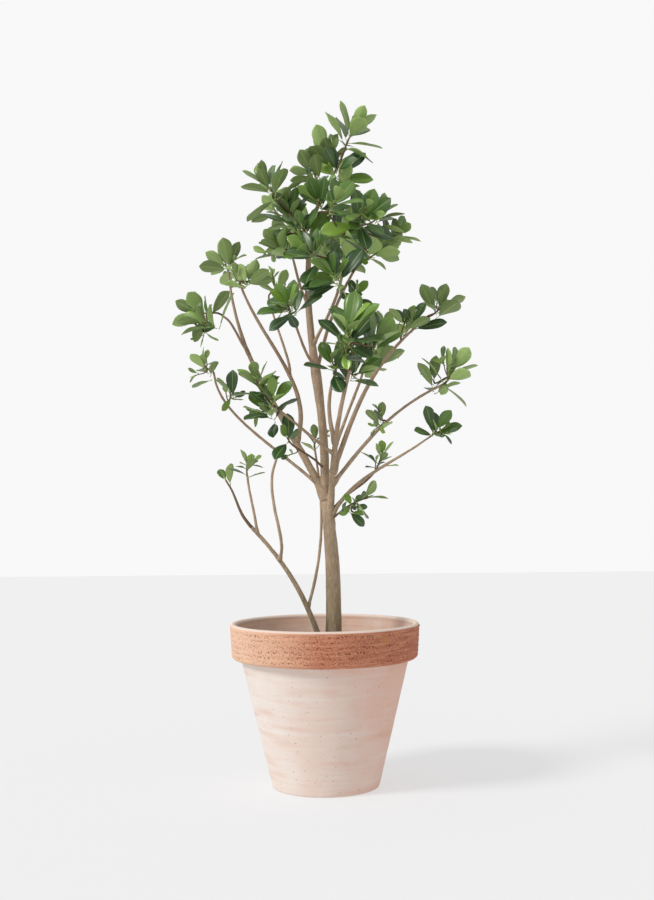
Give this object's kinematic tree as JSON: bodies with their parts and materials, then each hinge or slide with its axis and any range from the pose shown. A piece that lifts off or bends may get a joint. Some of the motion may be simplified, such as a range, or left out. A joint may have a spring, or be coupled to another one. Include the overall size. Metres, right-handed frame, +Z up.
{
  "type": "potted chinese banyan",
  "caption": "Young fig tree with an upright trunk, slender boughs and tufts of glossy oval leaves, growing in a tapered clay pot with a rough rim band.",
  "frame": {"origin": "centre of the pot's flat underside", "axes": "+Z up along the trunk, -Y towards the side that the picture shows, +X to that side's right"},
  "size_m": [0.5103, 0.3918, 1.1636],
  "materials": {
    "clay": "matte",
    "earth": "matte",
    "bark": "matte",
    "foliage": "satin"
  },
  "bodies": {
    "root": {"centre_back_bough": "bark", "centre_bough": "bark", "crown_back_bough": "bark", "crown_front_bough": "bark", "crown_left_bough": "bark", "crown_right_bough": "bark", "far_left_bough": "bark", "foliage_centre": "foliage", "foliage_centre_back": "foliage", "foliage_centre_front": "foliage", "foliage_crown_back_left": "foliage", "foliage_crown_back_right": "foliage", "foliage_crown_front": "foliage", "foliage_crown_inner": "foliage", "foliage_crown_left": "foliage", "foliage_crown_left_low": "foliage", "foliage_crown_left_upper": "foliage", "foliage_crown_middle": "foliage", "foliage_crown_right": "foliage", "foliage_crown_right_front": "foliage", "foliage_crown_right_low": "foliage", "foliage_crown_right_small": "foliage", "foliage_left_back": "foliage", "foliage_left_far": "foliage", "foliage_left_front": "foliage", "foliage_left_high": "foliage", "foliage_left_middle": "foliage", "foliage_low_centre": "foliage", "foliage_low_left_front": "foliage", "foliage_low_left_pair": "foliage", "foliage_low_left_side": "foliage", "foliage_low_left_tip": "foliage", "foliage_right_back": "foliage", "foliage_right_hanging": "foliage", "foliage_right_high": "foliage", "foliage_right_high_small": "foliage", "foliage_right_inner": "foliage", "foliage_right_low": "foliage", "foliage_right_middle": "foliage", "foliage_side_end": "foliage", "foliage_side_outer": "foliage", "foliage_top": "foliage", "high_right_bough": "bark", "left_back_bough": "bark", "left_bough": "bark", "left_front_bough": "bark", "left_inner_bough": "bark", "low_left_bough": "bark", "low_left_front_bough": "bark", "low_right_bough": "bark", "middle_right_bough": "bark", "pot": "clay", "right_stem": "bark", "side_stem": "bark", "side_stem_middle_shoot": "bark", "side_stem_outer_shoot": "bark", "side_stem_rear_shoot": "bark", "soil": "earth", "trunk": "bark"}
  },
  "joints": []
}
